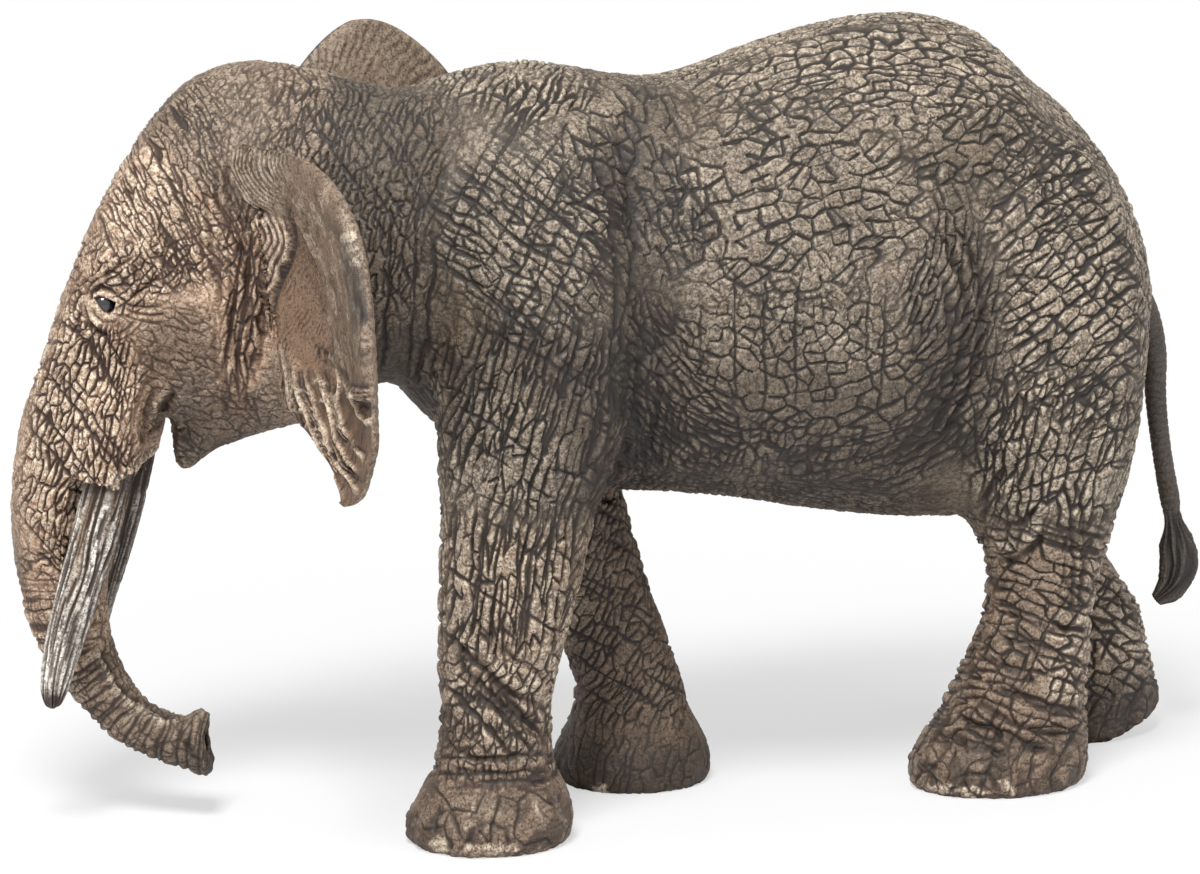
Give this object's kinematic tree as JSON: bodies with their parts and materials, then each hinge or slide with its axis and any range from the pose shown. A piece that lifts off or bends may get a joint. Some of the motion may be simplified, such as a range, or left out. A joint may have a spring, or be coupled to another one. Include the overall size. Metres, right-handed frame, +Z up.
{
  "type": "toy elephant figure",
  "caption": "Rigid toy African elephant cow, walking with her head turned to one side, with ears, tusks, trunk and tufted tail.",
  "frame": {"origin": "middle of the bounding box on the plane of the soles", "axes": "+Z up, -X the way the animal faces, -Y to the animal's left"},
  "size_m": [0.1688, 0.0734, 0.1063],
  "materials": {
    "skin": "olive brown paint, dry-brushed tan over dark brown crevices",
    "skin_far": "darker warm brown paint",
    "tusk": "grey-white paint over brown",
    "tail_hair": "dark grey-brown paint",
    "eye": "glossy grey-blue"
  },
  "bodies": {
    "root": {"torso": "skin", "head": "skin", "left_ear": "skin", "right_ear": "skin", "left_tusk": "tusk", "right_tusk": "tusk", "left_eye": "eye", "right_eye": "eye", "tail": "tail_hair", "front_left_leg": "skin", "front_right_leg": "skin_far", "hind_left_leg": "skin", "hind_right_leg": "skin_far"}
  },
  "joints": []
}
